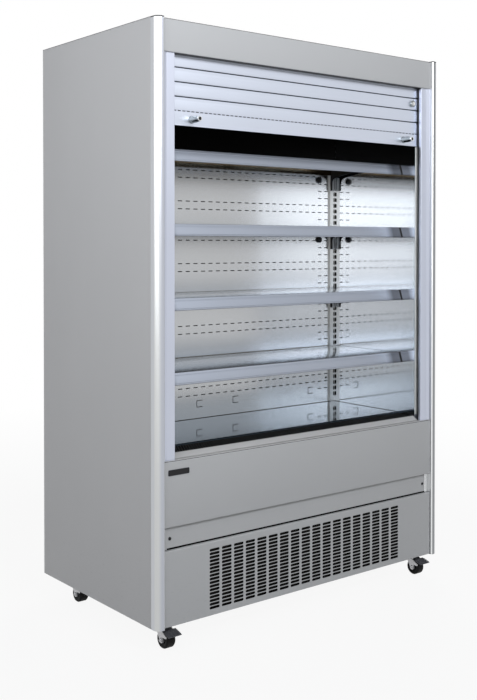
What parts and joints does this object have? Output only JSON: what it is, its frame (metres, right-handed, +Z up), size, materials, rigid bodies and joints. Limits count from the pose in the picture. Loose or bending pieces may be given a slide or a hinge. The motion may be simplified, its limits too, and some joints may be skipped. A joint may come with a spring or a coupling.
{
  "type": "open multideck display fridge",
  "caption": "Upright open-front refrigerated display cabinet with shelves, a roll-down slatted night shutter, a slotted machine grille and swivel casters.",
  "frame": {"origin": "on the floor under the centre of the overall box", "axes": "+Z up, front of the cabinet towards -Y, +X to the right seen from the front"},
  "size_m": [1.312, 0.749, 1.99],
  "materials": {
    "foam_panel": "plastic-coated sheet over foam",
    "tub_foam": "moulded inner tub over foam",
    "front_sheet": "satin grey powder coat",
    "profile_aluminium": "satin anodised",
    "shutter_aluminium": "satin anodised",
    "polished_steel": "polished",
    "steel": "satin stainless",
    "zinc_steel": "zinc plated",
    "black_plastic": "matte",
    "black_lacquer": "satin black",
    "chrome": "polished",
    "machinery": "black enamel",
    "coil_aluminium": "plain fins",
    "copper": "drawn",
    "tyre": "matte"
  },
  "bodies": {
    "cabinet": {"air_discharge_honeycomb": "black_plastic", "base_deck": "steel", "base_frame": "zinc_steel", "canopy_fascia": "front_sheet", "caster_plates": "zinc_steel", "ceiling_panel": "black_lacquer", "compressor": "machinery", "control_box": "black_plastic", "drip_tray": "black_plastic", "fan_motors": "machinery", "fan_shrouds": "zinc_steel", "finned_coils": "coil_aluminium", "front_ledge": "steel", "front_panel": "front_sheet", "insulated_tub": "tub_foam", "kick_strip": "front_sheet", "left_corner_profile": "profile_aluminium", "left_shutter_guide": "profile_aluminium", "left_side_panel": "foam_panel", "machine_grille": "front_sheet", "pipework": "copper", "plastic_trim": "black_plastic", "rear_duct_panel": "steel", "rear_panel": "foam_panel", "rear_vent_panel": "front_sheet", "return_air_grille": "black_plastic", "right_corner_profile": "profile_aluminium", "right_shutter_guide": "profile_aluminium", "right_side_panel": "foam_panel", "roll_box_cover": "zinc_steel", "roll_box_end_plates": "zinc_steel", "roll_box_floor": "zinc_steel", "roof_panel": "foam_panel", "shelf_1": "steel", "shelf_2": "steel", "shelf_3": "steel", "shelf_4": "steel", "shelf_brackets": "steel", "shelf_uprights": "steel", "side_liners": "polished_steel", "ticket_rails": "profile_aluminium"},
    "shutter": {"shutter_slats": "shutter_aluminium", "shutter_bottom_rail": "shutter_aluminium", "shutter_fittings": "chrome"},
    "lock": {"lock_plug": "chrome"},
    "drum": {"shutter_drum": "zinc_steel", "wound_slats": "shutter_aluminium"},
    "condenser_fan": {"condenser_fan": "black_plastic"},
    "evaporator_fan_1": {"evaporator_fan_1": "black_plastic"},
    "evaporator_fan_2": {"evaporator_fan_2": "black_plastic"},
    "fork_front_left": {"caster_fork_front_left": "zinc_steel"},
    "wheel_front_left": {"caster_wheel_front_left": "tyre"},
    "fork_front_right": {"caster_fork_front_right": "zinc_steel"},
    "wheel_front_right": {"caster_wheel_front_right": "tyre"},
    "fork_rear_left": {"caster_fork_rear_left": "zinc_steel"},
    "wheel_rear_left": {"caster_wheel_rear_left": "tyre"},
    "fork_rear_right": {"caster_fork_rear_right": "zinc_steel"},
    "wheel_rear_right": {"caster_wheel_rear_right": "tyre"},
    "pedal_front_left": {"brake_pedal_front_left": "black_plastic"},
    "pedal_front_right": {"brake_pedal_front_right": "black_plastic"}
  },
  "joints": [
    {"name": "shutter_slide", "type": "slide", "parent": "cabinet", "child": "shutter", "axis": [0, 0, -1], "range_m": [0, 1.045]},
    {"name": "drum_turn", "type": "hinge", "parent": "cabinet", "child": "drum", "pos_m": [0, -0.2495, 1.908], "axis": [1, 0, 0], "range_deg": [0, 1269.4]},
    {"name": "lock_turn", "type": "hinge", "parent": "shutter", "child": "lock", "pos_m": [0.545, -0.3345, 1.822], "axis": [0, -1, 0], "range_deg": [0, 90]},
    {"name": "condenser_fan_spin", "type": "hinge", "parent": "cabinet", "child": "condenser_fan", "pos_m": [-0.3, -0.2225, 0.245], "axis": [0, 1, 0], "continuous": true},
    {"name": "evaporator_fan_1_spin", "type": "hinge", "parent": "cabinet", "child": "evaporator_fan_1", "pos_m": [-0.27, 0.1055, 0.531], "axis": [0, 1, 0], "continuous": true},
    {"name": "evaporator_fan_2_spin", "type": "hinge", "parent": "cabinet", "child": "evaporator_fan_2", "pos_m": [0.27, 0.1055, 0.531], "axis": [0, 1, 0], "continuous": true},
    {"name": "swivel_front_left", "type": "hinge", "parent": "cabinet", "child": "fork_front_left", "pos_m": [-0.588, -0.2865, 0.085], "axis": [0, 0, 1], "continuous": true},
    {"name": "roll_front_left", "type": "hinge", "parent": "fork_front_left", "child": "wheel_front_left", "pos_m": [-0.588, -0.3145, 0.029], "axis": [1, 0, 0], "continuous": true},
    {"name": "pedal_turn_front_left", "type": "hinge", "parent": "fork_front_left", "child": "pedal_front_left", "pos_m": [-0.588, -0.3045, 0.067], "axis": [-1, 0, 0], "range_deg": [0, 12]},
    {"name": "swivel_front_right", "type": "hinge", "parent": "cabinet", "child": "fork_front_right", "pos_m": [0.588, -0.2865, 0.085], "axis": [0, 0, 1], "continuous": true},
    {"name": "roll_front_right", "type": "hinge", "parent": "fork_front_right", "child": "wheel_front_right", "pos_m": [0.588, -0.3145, 0.029], "axis": [1, 0, 0], "continuous": true},
    {"name": "pedal_turn_front_right", "type": "hinge", "parent": "fork_front_right", "child": "pedal_front_right", "pos_m": [0.588, -0.3045, 0.067], "axis": [-1, 0, 0], "range_deg": [0, 12]},
    {"name": "swivel_rear_left", "type": "hinge", "parent": "cabinet", "child": "fork_rear_left", "pos_m": [-0.588, 0.2565, 0.085], "axis": [0, 0, 1], "continuous": true},
    {"name": "roll_rear_left", "type": "hinge", "parent": "fork_rear_left", "child": "wheel_rear_left", "pos_m": [-0.588, 0.2285, 0.029], "axis": [1, 0, 0], "continuous": true},
    {"name": "swivel_rear_right", "type": "hinge", "parent": "cabinet", "child": "fork_rear_right", "pos_m": [0.588, 0.2565, 0.085], "axis": [0, 0, 1], "continuous": true},
    {"name": "roll_rear_right", "type": "hinge", "parent": "fork_rear_right", "child": "wheel_rear_right", "pos_m": [0.588, 0.2285, 0.029], "axis": [1, 0, 0], "continuous": true}
  ],
  "couplings": [
    {"joint": "drum_turn", "follows": "shutter_slide", "rad_per_m": 21.192}
  ]
}
